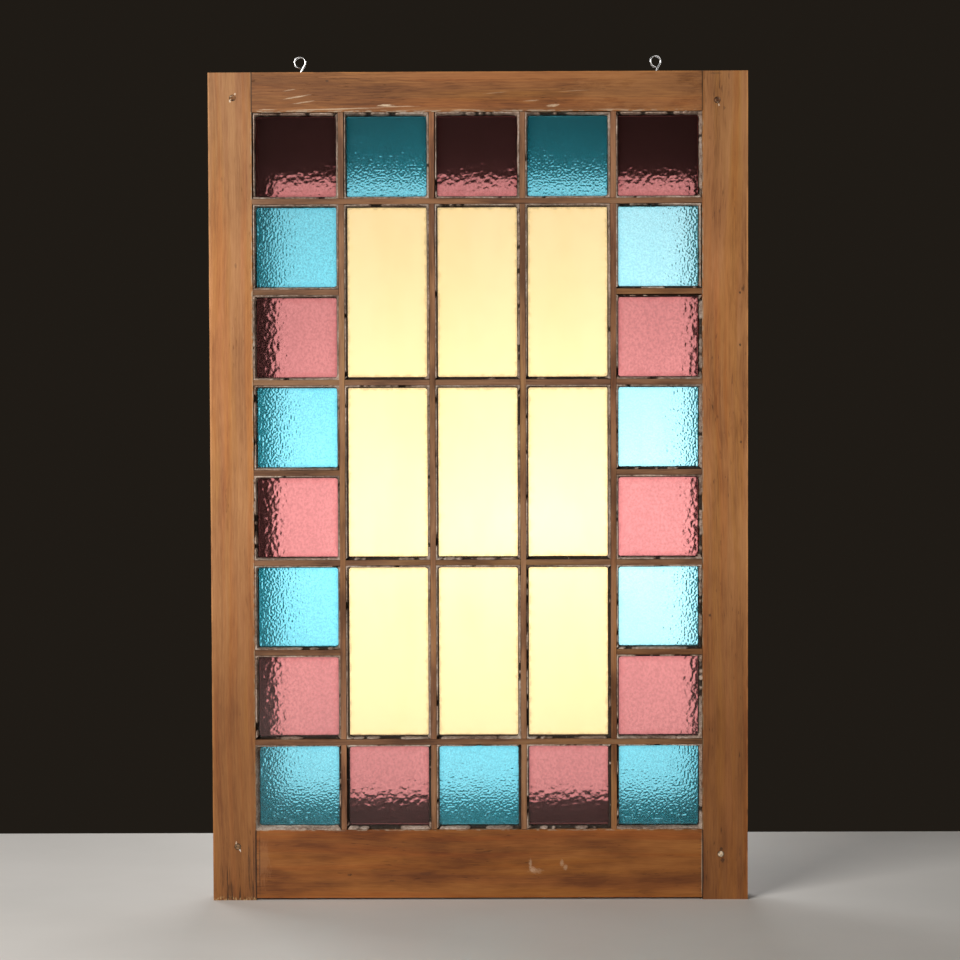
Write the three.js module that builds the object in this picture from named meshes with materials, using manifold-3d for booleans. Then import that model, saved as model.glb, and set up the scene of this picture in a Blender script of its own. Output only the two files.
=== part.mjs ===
// A wooden sash glazed with coloured glass, in millimetres.
// X runs across the sash, Y from the putty side to the room side, and Z up.
// The origin is in the middle of the top edge, in line with the two screw eyes it hangs by.
import * as THREE from "three";
import { mergeVertices } from "three/addons/utils/BufferGeometryUtils.js";
import Module from "manifold-3d";

const wasm = await Module();
wasm.setup();

// Sash
const sashWidth = 610;
const sashHeight = 941;
const sashThickness = 35;
const leftStileWidth = 49;
const rightStileWidth = 51.5;
const topRailHeight = 45;
const bottomRailHeight = 78;
const stileHorn = 2.5; // how far the stiles run on below the bottom rail

// Rebate and moulding, the same on the frame and on the glazing bars
const rebateDepth = 13; // from the front face to the seat of the glass
const frameRebate = 4.5; // width of the seat along stiles and rails
const seatLand = 3; // straight edge behind the seat
const mouldingDepth = 12; // depth of the ovolo towards the room side
const mouldingFall = 3.2; // how far the ovolo falls back
const mouldingSteps = 6;

// Glazing bars
const columns = 5;
const rows = 8;
const barFace = 6; // the fillet between two beads of putty
const barWidth = 12.5; // across the two seats
const halvingDepth = 17; // from the front face to the halving of crossing bars

// Glass
const glassThickness = 3;
const glassPlay = 1; // between the edge of a pane and the wall of its rebate

// Joints
const clearance = 0.3; // between pieces that touch
const tenonThickness = 11;
const tenonShoulder = 5; // set in from the moulded edge of a rail
const tenonHaunch = 10; // set in from the outer edge of a rail
const barTenonThickness = 4;
const barTenonHeight = 7;
const barTenonLength = 8; // into a stile or a rail
const stubTenonLength = 2.5; // into another bar
const pinDiameter = 7;

// Screw eyes
const eyeWire = 2.4;
const eyeDiameter = 14.7; // outside of the ring
const eyeRise = 12.9; // centre of the ring above the top edge
const eyeNeck = 2; // straight wire above the top edge
const eyeShank = 14; // wire below the top edge
const eyeLean = 0.8; // the ring's centre stands this far to the left of the shank
const eyeClosing = 272; // degrees at which the wire ends beside its own neck
const leftEyeInset = 104; // from the side of the sash
const rightEyeInset = 102.5;
const leftEyeTurn = 0;
const rightEyeTurn = 20; // degrees about the shank

// Places that follow from the sizes above
const frontY = -sashThickness / 2;
const backY = sashThickness / 2;
const seatY = frontY + rebateDepth;
const halvingY = frontY + halvingDepth;
const leftX = -sashWidth / 2;
const rightX = sashWidth / 2;
const openingLeft = leftX + leftStileWidth;
const openingRight = rightX - rightStileWidth;
const openingTop = -topRailHeight;
const railFootZ = -sashHeight + stileHorn;
const openingBottom = railFootZ + bottomRailHeight;
const barRebate = (barWidth - barFace) / 2;
const farAway = 2 * (sashWidth + sashHeight); // longer than any cut
const rootOverlap = 3; // how far a tenon's root runs into its own piece

// All lights are equal at the sight line, so the bars follow from the opening.
function barPlaces(from, to, lights) {
  const sight = Math.abs(to - from) - 2 * frameRebate;
  const pitch = (sight + barWidth) / lights;
  const start = frameRebate - barWidth / 2;
  const sign = Math.sign(to - from);
  return Array.from({ length: lights - 1 }, (_, i) => from + sign * (start + (i + 1) * pitch));
}

const uprightX = barPlaces(openingLeft, openingRight, columns);
const crossZ = barPlaces(openingTop, openingBottom, rows);

// Solids

function solidOf(geometry) {
  const bare = geometry.index ? geometry.toNonIndexed() : geometry.clone();
  bare.deleteAttribute("normal");
  bare.deleteAttribute("uv");
  const merged = mergeVertices(bare, 1e-4);
  return new wasm.Manifold(
    new wasm.Mesh({
      numProp: 3,
      vertProperties: merged.attributes.position.array,
      triVerts: new Uint32Array(merged.index.array),
    }),
  );
}

function geometryOf(solid) {
  const mesh = solid.getMesh();
  const geometry = new THREE.BufferGeometry();
  geometry.setAttribute("position", new THREE.BufferAttribute(mesh.vertProperties, 3));
  geometry.setIndex(new THREE.BufferAttribute(mesh.triVerts, 1));
  const faceted = geometry.toNonIndexed();
  faceted.computeVertexNormals();
  return faceted;
}

function block(low, high) {
  const size = high.map((value, i) => value - low[i]);
  const middle = high.map((value, i) => (value + low[i]) / 2);
  return solidOf(new THREE.BoxGeometry(...size).translate(...middle));
}

function rodAlongY(radius, from, to, x, z) {
  const rod = new THREE.CylinderGeometry(radius, radius, to - from, 16);
  return solidOf(rod.translate(x, (from + to) / 2, z));
}

// The section of a moulded edge as points [out, y] from the front face to the back face.
// "out" is measured from the wall of the rebate, and grow is the clearance of a scribed fit.
function edgeLine(rebate, grow) {
  const over = grow > 0 ? 1 : 0; // a cutter runs past both faces
  const points = [
    [grow, frontY - over],
    [grow, seatY - grow],
    [rebate + grow, seatY - grow],
  ];
  for (let i = 0; i <= mouldingSteps; i += 1) {
    const angle = (i / mouldingSteps) * (Math.PI / 2);
    points.push([
      rebate + grow - mouldingFall * (1 - Math.cos(angle)),
      seatY + seatLand + (mouldingDepth + grow) * Math.sin(angle),
    ]);
  }
  points.push([rebate + grow - mouldingFall, backY + over]);
  return points;
}

// Section of a stile or rail: its moulded edge at zero, its outer edge at -width.
function frameSection(width, grow = 0) {
  const edge = edgeLine(frameRebate, grow);
  const first = edge[0];
  const last = edge[edge.length - 1];
  return [[-width - grow, first[1]], ...edge, [-width - grow, last[1]]];
}

// Section of a glazing bar, moulded on both edges.
function barSection(grow = 0) {
  const half = edgeLine(barRebate, grow).map(([out, y]) => [barFace / 2 + out, y]);
  const mirrored = half.map(([out, y]) => [-out, y]).reverse();
  return [...half, ...mirrored];
}

function extrude(section, length) {
  const shape = new THREE.Shape(section.map(([x, y]) => new THREE.Vector2(x, y)));
  return new THREE.ExtrudeGeometry(shape, { depth: length, bevelEnabled: false });
}

// A member that stands upright: the section's first axis along X, turned round when facing is -1.
function upright(section, x, facing, from, to) {
  const turned = section.map(([out, y]) => [x + facing * out, y]);
  return solidOf(extrude(turned, to - from).translate(0, 0, from));
}

// A member that lies across: the section's first axis along Z, turned round when facing is -1.
function across(section, z, facing, from, to) {
  const turned = section.map(([out, y]) => [z + facing * out, y]);
  const lie = new THREE.Matrix4().makeBasis(
    new THREE.Vector3(0, 0, 1),
    new THREE.Vector3(0, 1, 0),
    new THREE.Vector3(-1, 0, 0),
  );
  return solidOf(extrude(turned, to - from).applyMatrix4(lie).translate(to, 0, 0));
}

// The four members of the frame: where the moulded edge is, which way it faces and how wide it is.
const leftStile = { edge: openingLeft, facing: 1, width: leftStileWidth };
const rightStile = { edge: openingRight, facing: -1, width: rightStileWidth };
const topRail = { edge: openingTop, facing: -1, width: topRailHeight };
const bottomRail = { edge: openingBottom, facing: 1, width: bottomRailHeight };

const stileCutter = (stile) =>
  upright(frameSection(stile.width + 1, clearance), stile.edge, stile.facing, -farAway, farAway);
const railCutter = (rail) =>
  across(frameSection(rail.width + 1, clearance), rail.edge, rail.facing, -farAway, farAway);
const uprightCutter = (x) => upright(barSection(clearance), x, 1, -farAway, farAway);
const crossCutter = (z) => across(barSection(clearance), z, 1, -farAway, farAway);
const frontHalf = block(
  [-farAway, -farAway, -farAway],
  [farAway, halvingY + clearance / 2, farAway],
);
const backHalf = block(
  [-farAway, halvingY - clearance / 2, -farAway],
  [farAway, farAway, farAway],
);

// Corner joints

// Each pin stands a little off the middle of its tenon: inward across the stile, and up.
const pins = [
  { name: "pin_top_left", stile: leftStile, rail: topRail, inward: 3.5, up: -3.5 },
  { name: "pin_top_right", stile: rightStile, rail: topRail, inward: 9, up: -8 },
  { name: "pin_bottom_left", stile: leftStile, rail: bottomRail, inward: 3.5, up: 17.5 },
  { name: "pin_bottom_right", stile: rightStile, rail: bottomRail, inward: 5, up: 8 },
];

// Heights of a rail's tenon, low and high.
function tenonSpan(rail) {
  const inner = rail.edge - rail.facing * tenonShoulder;
  const outer = rail.edge - rail.facing * (rail.width - tenonHaunch);
  return [Math.min(inner, outer), Math.max(inner, outer)];
}

// A tenon right through its stile, or with grow its mortise.
function cornerTenon(rail, stile, grow) {
  const [low, high] = tenonSpan(rail);
  const root = stile.edge + stile.facing * (frameRebate + rootOverlap);
  const tip = stile.edge - stile.facing * (stile.width + (grow > 0 ? 1 : 0));
  const half = tenonThickness / 2 + grow;
  return block(
    [Math.min(root, tip), -half, low - grow],
    [Math.max(root, tip), half, high + grow],
  );
}

function pinPlace(pin) {
  const [low, high] = tenonSpan(pin.rail);
  const middle = pin.stile.edge - (pin.stile.facing * pin.stile.width) / 2;
  return [middle + pin.stile.facing * pin.inward, (low + high) / 2 + pin.up];
}

function pinHole(pin) {
  const [x, z] = pinPlace(pin);
  return rodAlongY(pinDiameter / 2 + clearance, frontY - 1, backY + 1, x, z);
}

// Tenons of the glazing bars, just behind the seat of the glass

const barTenonFront = seatY + 1;
const barTenonBack = barTenonFront + barTenonHeight;

// From root to tip along one axis, centred on the other: swap says that the bar stands upright.
function barTenon(root, tip, centre, swap, grow) {
  const reach = tip + Math.sign(tip - root) * grow;
  const ends = [Math.min(root, reach), Math.max(root, reach)];
  const sides = [centre - barTenonThickness / 2 - grow, centre + barTenonThickness / 2 + grow];
  const [alongX, alongZ] = swap ? [sides, ends] : [ends, sides];
  return block(
    [alongX[0], barTenonFront - grow, alongZ[0]],
    [alongX[1], barTenonBack + grow, alongZ[1]],
  );
}

function tenonInFrame(member, centre, swap, grow) {
  const root = member.edge + member.facing * (frameRebate + rootOverlap);
  const tip = member.edge - member.facing * barTenonLength;
  return barTenon(root, tip, centre, swap, grow);
}

// A short bar's tenon in an upright: side is -1 where the bar comes from the left.
function tenonInUpright(x, side, z, grow) {
  const root = x + side * (barWidth / 2 + rootOverlap);
  const tip = x + side * (barWidth / 2 - stubTenonLength);
  return barTenon(root, tip, z, false, grow);
}

// Which cross bars run the whole way, and which of them stay whole in front at a crossing
const longCross = crossZ.map((z, i) => ({ z, row: i + 1 })).filter(({ row }) => row % 2 === 1);
const shortCross = crossZ.map((z, i) => ({ z, row: i + 1 })).filter(({ row }) => row % 2 === 0);
const lastLong = longCross[longCross.length - 1].row;
const inFront = (row) => row === 1 || row === lastLong;

// Pieces of wood

function cutAll(solid, cutters) {
  return cutters.reduce((left, cutter) => left.subtract(cutter), solid);
}

function addAll(solid, parts) {
  return parts.reduce((whole, part) => whole.add(part), solid);
}

function makeStile(stile) {
  const blank = upright(frameSection(stile.width), stile.edge, stile.facing, -sashHeight, 0);
  return cutAll(blank, [
    cornerTenon(topRail, stile, clearance),
    cornerTenon(bottomRail, stile, clearance),
    ...pins.filter((pin) => pin.stile === stile).map(pinHole),
    ...crossZ.map((z) => tenonInFrame(stile, z, false, clearance)),
  ]);
}

function makeRail(rail) {
  const blank = across(frameSection(rail.width), rail.edge, rail.facing, leftX, rightX);
  const shouldered = cutAll(blank, [leftStile, rightStile].map(stileCutter));
  const tenoned = addAll(shouldered, [
    cornerTenon(rail, leftStile, 0),
    cornerTenon(rail, rightStile, 0),
  ]);
  return cutAll(tenoned, [
    ...pins.filter((pin) => pin.rail === rail).map(pinHole),
    ...uprightX.map((x) => tenonInFrame(rail, x, true, clearance)),
  ]);
}

function makeUpright(x, column) {
  const blank = upright(barSection(), x, 1, openingBottom - rootOverlap, openingTop + rootOverlap);
  const scribed = cutAll(blank, [topRail, bottomRail].map(railCutter));
  const tenoned = addAll(scribed, [
    tenonInFrame(topRail, x, true, 0),
    tenonInFrame(bottomRail, x, true, 0),
  ]);
  const halvings = longCross.map(({ z, row }) =>
    crossCutter(z).intersect(inFront(row) ? frontHalf : backHalf),
  );
  const side = shortSide(column);
  const mortises = side ? shortCross.map(({ z }) => tenonInUpright(x, side, z, clearance)) : [];
  return cutAll(tenoned, [...halvings, ...mortises]);
}

// Short bars come to the first upright from the left and to the last from the right.
function shortSide(column) {
  if (column === 1) return -1;
  return column === columns - 1 ? 1 : 0;
}

function makeLongCross({ z, row }) {
  const blank = across(barSection(), z, 1, openingLeft - rootOverlap, openingRight + rootOverlap);
  const scribed = cutAll(blank, [leftStile, rightStile].map(stileCutter));
  const tenoned = addAll(scribed, [
    tenonInFrame(leftStile, z, false, 0),
    tenonInFrame(rightStile, z, false, 0),
  ]);
  const half = inFront(row) ? backHalf : frontHalf;
  return cutAll(tenoned, uprightX.map((x) => uprightCutter(x).intersect(half)));
}

function makeShortCross({ z }, stile, x) {
  const ends = [stile.edge - stile.facing * rootOverlap, x];
  const blank = across(barSection(), z, 1, Math.min(...ends), Math.max(...ends));
  const scribed = cutAll(blank, [stileCutter(stile), uprightCutter(x)]);
  return addAll(scribed, [
    tenonInFrame(stile, z, false, 0),
    tenonInUpright(x, -stile.facing, z, 0),
  ]);
}

// Screw eye: the wire leaves the wood upright, leans over to the right and goes once round the ring.
function makeEye() {
  const radius = (eyeDiameter - eyeWire) / 2;
  const centre = new THREE.Vector2(-eyeLean, eyeRise);
  const neck = new THREE.Vector2(0, eyeNeck);
  const toCentre = centre.clone().sub(neck);
  const touch = toCentre.angle() - Math.asin(radius / toCentre.length()) - Math.PI / 2;
  const end = THREE.MathUtils.degToRad(eyeClosing);
  const ringSteps = 14;
  const points = [
    [0, -eyeShank],
    [0, -eyeShank / 2],
    [0, 0],
    [0, eyeNeck * 0.6],
  ];
  for (let i = 0; i <= ringSteps; i += 1) {
    const angle = touch + (i / ringSteps) * (end - touch);
    points.push([centre.x + radius * Math.cos(angle), centre.y + radius * Math.sin(angle)]);
  }
  const path = new THREE.CatmullRomCurve3(points.map(([x, z]) => new THREE.Vector3(x, 0, z)));
  const round = new THREE.Shape().absarc(0, 0, eyeWire / 2, 0, 2 * Math.PI);
  const options = { extrudePath: path, steps: 40, curveSegments: 4, bevelEnabled: false };
  return solidOf(new THREE.ExtrudeGeometry(round, options));
}

const eyes = [
  { name: "screw_eye_left", x: leftX + leftEyeInset, turn: leftEyeTurn },
  { name: "screw_eye_right", x: rightX - rightEyeInset, turn: rightEyeTurn },
];

function eyeHole({ x }) {
  const depth = eyeShank + clearance;
  const radius = eyeWire / 2 + clearance;
  const hole = new THREE.CylinderGeometry(radius, radius, depth + 1, 12);
  return solidOf(hole.rotateX(Math.PI / 2).translate(x, 0, (1 - depth) / 2));
}

// Glass

// Sight edges of one light along an axis, and the rebate beside each of them
function lightSpan(places, from, to, first, span, sign) {
  const last = first + span - 1;
  const atStart = first === 1;
  const atEnd = last === places.length + 1;
  const start = atStart ? from + sign * frameRebate : places[first - 2] + (sign * barWidth) / 2;
  const end = atEnd ? to - sign * frameRebate : places[last - 1] - (sign * barWidth) / 2;
  const startRebate = (atStart ? frameRebate : barRebate) - glassPlay;
  const endRebate = (atEnd ? frameRebate : barRebate) - glassPlay;
  return [start - sign * startRebate, end + sign * endRebate];
}

function addPane(group, glass, row, column, span) {
  const [left, right] = lightSpan(uprightX, openingLeft, openingRight, column, 1, 1);
  const [top, bottom] = lightSpan(crossZ, openingTop, openingBottom, row, span, -1);
  const pane = new THREE.BoxGeometry(right - left, glassThickness, top - bottom);
  const mesh = new THREE.Mesh(pane, glass.material);
  mesh.name = `pane_${glass.name}_r${row}_c${column}`;
  mesh.position.set((left + right) / 2, seatY - clearance - glassThickness / 2, (top + bottom) / 2);
  group.add(mesh);
}

// Materials

const finish = (color, roughness, metalness, extra = {}) =>
  new THREE.MeshStandardMaterial({ color, roughness, metalness, ...extra });
const stileWood = finish(0x9a6a42, 0.62, 0);
const railWood = finish(0x86583a, 0.6, 0);
const barWood = finish(0x7c5a42, 0.68, 0);
const pinWood = finish(0x5e3c26, 0.75, 0);
const brightSteel = finish(0xc9cccd, 0.28, 1);
const paneLook = { transparent: true, opacity: 0.6 };
const purple = { name: "purple", material: finish(0xc06a72, 0.12, 0, paneLook) };
const blue = { name: "blue", material: finish(0x3fb8cf, 0.12, 0, paneLook) };
const straw = { name: "straw", material: finish(0xf6e9a8, 0.1, 0, paneLook) };

// Assembly

function piece(name, solid, material, place) {
  const geometry = geometryOf(solid).translate(-place[0], -place[1], -place[2]);
  const mesh = new THREE.Mesh(geometry, material);
  mesh.name = name;
  mesh.position.set(...place);
  return mesh;
}

const middleX = (openingLeft + openingRight) / 2;
const middleZ = (openingTop + openingBottom) / 2;

const frame = new THREE.Group();
const stileZ = -sashHeight / 2;
const topRailZ = -topRailHeight / 2;
const bottomRailZ = railFootZ + bottomRailHeight / 2;
frame.add(piece("stile_left", makeStile(leftStile), stileWood, [openingLeft, 0, stileZ]));
frame.add(piece("stile_right", makeStile(rightStile), stileWood, [openingRight, 0, stileZ]));
const topRailSolid = cutAll(makeRail(topRail), eyes.map(eyeHole));
frame.add(piece("rail_top", topRailSolid, railWood, [0, 0, topRailZ]));
frame.add(piece("rail_bottom", makeRail(bottomRail), railWood, [0, 0, bottomRailZ]));

const bars = new THREE.Group();
uprightX.forEach((x, i) => {
  bars.add(piece(`bar_upright_${i + 1}`, makeUpright(x, i + 1), barWood, [x, 0, middleZ]));
});
longCross.forEach((bar) => {
  bars.add(piece(`bar_cross_${bar.row}`, makeLongCross(bar), barWood, [middleX, 0, bar.z]));
});
shortCross.forEach((bar) => {
  const left = makeShortCross(bar, leftStile, uprightX[0]);
  const right = makeShortCross(bar, rightStile, uprightX[columns - 2]);
  bars.add(piece(`bar_short_${bar.row}_left`, left, barWood, [openingLeft, 0, bar.z]));
  bars.add(piece(`bar_short_${bar.row}_right`, right, barWood, [openingRight, 0, bar.z]));
});

const pegs = new THREE.Group();
pins.forEach((pin) => {
  const [x, z] = pinPlace(pin);
  const peg = new THREE.CylinderGeometry(pinDiameter / 2, pinDiameter / 2, sashThickness, 16);
  const mesh = new THREE.Mesh(peg, pinWood);
  mesh.name = pin.name;
  mesh.position.set(x, 0, z);
  pegs.add(mesh);
});

const hangers = new THREE.Group();
eyes.forEach(({ name, x, turn }) => {
  const mesh = piece(name, makeEye(), brightSteel, [0, 0, 0]);
  mesh.rotation.z = THREE.MathUtils.degToRad(turn);
  mesh.position.set(x, 0, 0);
  hangers.add(mesh);
});

// The border alternates purple and blue squares all the way round; the middle has tall straw panes.
const glazing = new THREE.Group();
for (let row = 1; row <= rows; row += 1) {
  for (let column = 1; column <= columns; column += 1) {
    const onBorder = row === 1 || row === rows || column === 1 || column === columns;
    const evenSquare = (row + column) % 2 === 0;
    if (onBorder) {
      addPane(glazing, evenSquare ? purple : blue, row, column, 1);
    } else if (row % 2 === 0) {
      addPane(glazing, straw, row, column, 2);
    }
  }
}

const sash = new THREE.Group();
sash.add(frame, bars, pegs, hangers, glazing);

export default sash;
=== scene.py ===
import math

import bmesh
import bpy
from mathutils import Matrix, Quaternion, Vector, noise


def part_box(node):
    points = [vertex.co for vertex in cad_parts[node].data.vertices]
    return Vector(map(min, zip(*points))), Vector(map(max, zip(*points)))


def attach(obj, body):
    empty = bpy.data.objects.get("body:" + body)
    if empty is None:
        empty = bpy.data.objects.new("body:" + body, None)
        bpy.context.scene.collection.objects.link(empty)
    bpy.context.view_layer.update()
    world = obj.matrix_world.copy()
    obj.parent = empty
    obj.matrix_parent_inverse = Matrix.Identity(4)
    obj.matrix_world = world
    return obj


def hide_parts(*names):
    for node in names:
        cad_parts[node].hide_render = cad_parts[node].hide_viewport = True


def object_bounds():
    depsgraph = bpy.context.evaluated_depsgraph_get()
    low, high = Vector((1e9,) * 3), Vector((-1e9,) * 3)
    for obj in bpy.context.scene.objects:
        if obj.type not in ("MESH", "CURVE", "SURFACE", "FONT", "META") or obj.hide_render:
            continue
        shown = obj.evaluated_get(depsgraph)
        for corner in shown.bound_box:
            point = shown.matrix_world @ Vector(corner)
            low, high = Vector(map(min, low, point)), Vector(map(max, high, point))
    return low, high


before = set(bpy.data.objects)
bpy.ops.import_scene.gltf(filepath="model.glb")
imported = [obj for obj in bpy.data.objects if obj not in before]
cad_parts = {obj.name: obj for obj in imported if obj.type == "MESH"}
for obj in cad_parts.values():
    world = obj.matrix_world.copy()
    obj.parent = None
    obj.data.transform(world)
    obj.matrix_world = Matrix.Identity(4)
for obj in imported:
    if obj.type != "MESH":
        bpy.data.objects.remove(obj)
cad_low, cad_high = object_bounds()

# A pegged wooden sash glazed with coloured glass, seen from its putty side.
# Metres: X across, Y from the putty side to the room side, Z up, origin on the top edge.

MM = 0.001

# Places taken from the frame
STILE_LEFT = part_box("stile_left")
STILE_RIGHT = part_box("stile_right")
RAIL_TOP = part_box("rail_top")
RAIL_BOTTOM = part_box("rail_bottom")
FRONT_Y = STILE_LEFT[0].y
FLOOR_Z = cad_low.z
PANES = sorted(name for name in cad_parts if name.startswith("pane_"))
BARS = sorted(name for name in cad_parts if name.startswith("bar_"))
PINS = sorted(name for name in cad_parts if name.startswith("pin_"))
EYES = sorted(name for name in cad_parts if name.startswith("screw_eye_"))

# Sizes of the joinery
GLASS_PLAY = 1.0 * MM        # from the edge of a pane to the wall of its rebate
FRAME_REBATE = 4.5 * MM
WALL_LEFT = min(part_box(name)[0].x for name in PANES) - GLASS_PLAY
WALL_RIGHT = max(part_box(name)[1].x for name in PANES) + GLASS_PLAY
WALL_TOP = max(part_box(name)[1].z for name in PANES) + GLASS_PLAY
WALL_BOTTOM = min(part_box(name)[0].z for name in PANES) - GLASS_PLAY


# Shader maths

class Level:
    """A number that varies over a surface. Arithmetic on it adds Math nodes."""

    def __init__(self, nodes, socket):
        self.nodes = nodes
        self.socket = socket

    def maths(self, operation, *values):
        node = self.nodes.add("ShaderNodeMath", {"operation": operation}, dict(enumerate(values)))
        return Level(self.nodes, node.outputs[0])

    def __add__(self, other):
        return self.maths("ADD", self, other)

    def __radd__(self, other):
        return self.maths("ADD", other, self)

    def __sub__(self, other):
        return self.maths("SUBTRACT", self, other)

    def __rsub__(self, other):
        return self.maths("SUBTRACT", other, self)

    def __mul__(self, other):
        return self.maths("MULTIPLY", self, other)

    def __rmul__(self, other):
        return self.maths("MULTIPLY", other, self)

    def __truediv__(self, other):
        return self.maths("DIVIDE", self, other)

    def __rtruediv__(self, other):
        return self.maths("DIVIDE", other, self)

    def __pow__(self, other):
        return self.maths("POWER", self, other)

    def sine(self):
        return self.maths("SINE", self)

    def size(self):
        return self.maths("ABSOLUTE", self)

    def step(self, low, high):
        """0 below low and 1 above high, with a soft step between; low may be the larger."""
        settings = {"interpolation_type": "SMOOTHSTEP"}
        node = self.nodes.add("ShaderNodeMapRange", settings, {0: self, 1: low, 2: high})
        return Level(self.nodes, node.outputs[0])


class Nodes:
    """A node tree and short ways to fill it."""

    def __init__(self, tree):
        self.tree = tree

    def add(self, kind, settings=None, sockets=None):
        node = self.tree.nodes.new(kind)
        for key, value in (settings or {}).items():
            if key == "stops":
                self.set_stops(node.color_ramp, value)
            else:
                setattr(node, key, value)
        for key, value in (sockets or {}).items():
            self.feed(node.inputs[key], value)
        return node

    def set_stops(self, ramp, stops):
        for extra in range(len(stops) - len(ramp.elements)):
            ramp.elements.new(0.5 + 0.01 * extra)
        for element, (position, colour) in zip(ramp.elements, stops):
            element.position = position
            element.color = (*colour, 1)

    def feed(self, socket, value):
        source = value.socket if isinstance(value, Level) else value
        if isinstance(source, bpy.types.NodeSocket):
            self.tree.links.new(source, socket)
        elif socket.type == "RGBA":
            socket.default_value = (*source, 1)
        else:
            socket.default_value = source

    def split(self, vector):
        parts = self.add("ShaderNodeSeparateXYZ", None, {0: vector}).outputs
        return [Level(self, part) for part in parts]

    def noise(self, x, y, z, detail=2.0, roughness=0.5):
        """Noise about 0.5 at a place given by three levels, one unit to a blotch."""
        place = self.add("ShaderNodeCombineXYZ", None, {0: x, 1: y, 2: z}).outputs[0]
        sockets = {"Vector": place, "Scale": 1.0, "Detail": detail, "Roughness": roughness}
        return Level(self, self.add("ShaderNodeTexNoise", None, sockets).outputs[0])

    def cells(self, x, y, z):
        """Distance to the nearest of many scattered points, about one unit apart."""
        place = self.add("ShaderNodeCombineXYZ", None, {0: x, 1: y, 2: z}).outputs[0]
        sockets = {"Vector": place, "Scale": 1.0}
        return Level(self, self.add("ShaderNodeTexVoronoi", None, sockets).outputs[0])

    def ramp(self, level, *stops):
        return self.add("ShaderNodeValToRGB", {"stops": stops}, {0: level}).outputs[0]

    def mix(self, level, first, second, blend="MIX"):
        settings = {"data_type": "RGBA", "blend_type": blend}
        return self.add("ShaderNodeMix", settings, {0: level, 6: first, 7: second}).outputs[2]

    def bump(self, height, strength, depth):
        sockets = {"Height": height, "Strength": strength, "Distance": depth}
        return self.add("ShaderNodeBump", None, sockets).outputs[0]


class Finish(Nodes):
    """A material and the place on the surface that its patterns follow."""

    def __init__(self, name):
        self.material = bpy.data.materials.new(name)
        self.material.use_nodes = True
        super().__init__(self.material.node_tree)
        self.shader = self.tree.nodes["Principled BSDF"]
        place = self.add("ShaderNodeTexCoord").outputs["Object"]
        self.x, self.y, self.z = self.split(place)

    def layer(self, name):
        """A number kept on the points of the mesh."""
        node = self.add("ShaderNodeAttribute", {"attribute_name": name})
        return Level(self, node.outputs["Fac"])

    def set(self, **values):
        """Feeds the shader's own sockets, named with _ for each space."""
        for key, value in values.items():
            self.feed(self.shader.inputs[key.replace("_", " ")], value)
        return self.material


def shade(colour, amount):
    return tuple(amount * value for value in colour)


# Wood

PUTTY_DUST = (0.42, 0.35, 0.26)
DARK_LINE = (0.020, 0.010, 0.005)
WHITE_RUB = (0.62, 0.48, 0.33)
DARK_SPOT = (0.035, 0.015, 0.006)
PALE_CHIP = (0.72, 0.58, 0.44)

# Changes of hue in the timber: how often along and across, where each starts and is full, weight
# and tint
HUES = (
    (3.0, 70.0, 0.46, 0.62, 0.45, (1.00, 0.90, 0.98)),
    (3.4, 80.0, 0.48, 0.64, 0.70, (1.02, 1.00, 0.72)),
    (2.1, 75.0, 0.50, 0.64, 0.75, (1.02, 0.86, 0.68)),
)


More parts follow.
